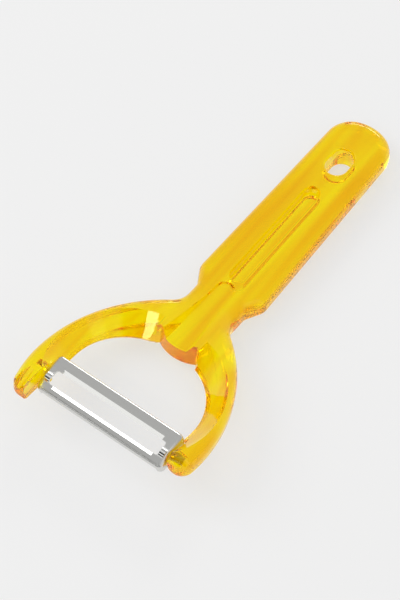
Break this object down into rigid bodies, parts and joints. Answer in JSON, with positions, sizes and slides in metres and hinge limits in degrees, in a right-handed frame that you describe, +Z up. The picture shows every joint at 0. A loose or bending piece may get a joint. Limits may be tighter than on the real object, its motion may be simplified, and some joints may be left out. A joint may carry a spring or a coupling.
{
  "type": "vegetable peeler",
  "caption": "Y-shaped peeler: clear moulded handle with groove, hang hole and curved arms that hold a slotted, swivelling steel blade; one arm tip is an eye remover.",
  "frame": {"origin": "middle of the footprint, on the surface that the grip's flat underside lies on", "axes": "+Y along the grip towards its hang end, +Z up out of the peeling side, +X along the blade, from the arm tip with the eye remover to the plain one"},
  "size_m": [0.0624, 0.1498, 0.0171],
  "materials": {
    "clear_yellow_plastic": "clear, gloss, injection moulded",
    "stainless_blade": "satin, pressed and ground",
    "stainless_stud": "turned"
  },
  "bodies": {
    "handle": {"handle_yoke": "clear_yellow_plastic"},
    "blade": {"blade": "stainless_blade", "left_pivot_stud": "stainless_stud", "right_pivot_stud": "stainless_stud"}
  },
  "joints": [
    {"name": "blade_swivel", "type": "hinge", "parent": "handle", "child": "blade", "pos_m": [0, -0.06344, 0.01126], "axis": [1, 0, 0], "range_deg": [-62, 22]}
  ]
}
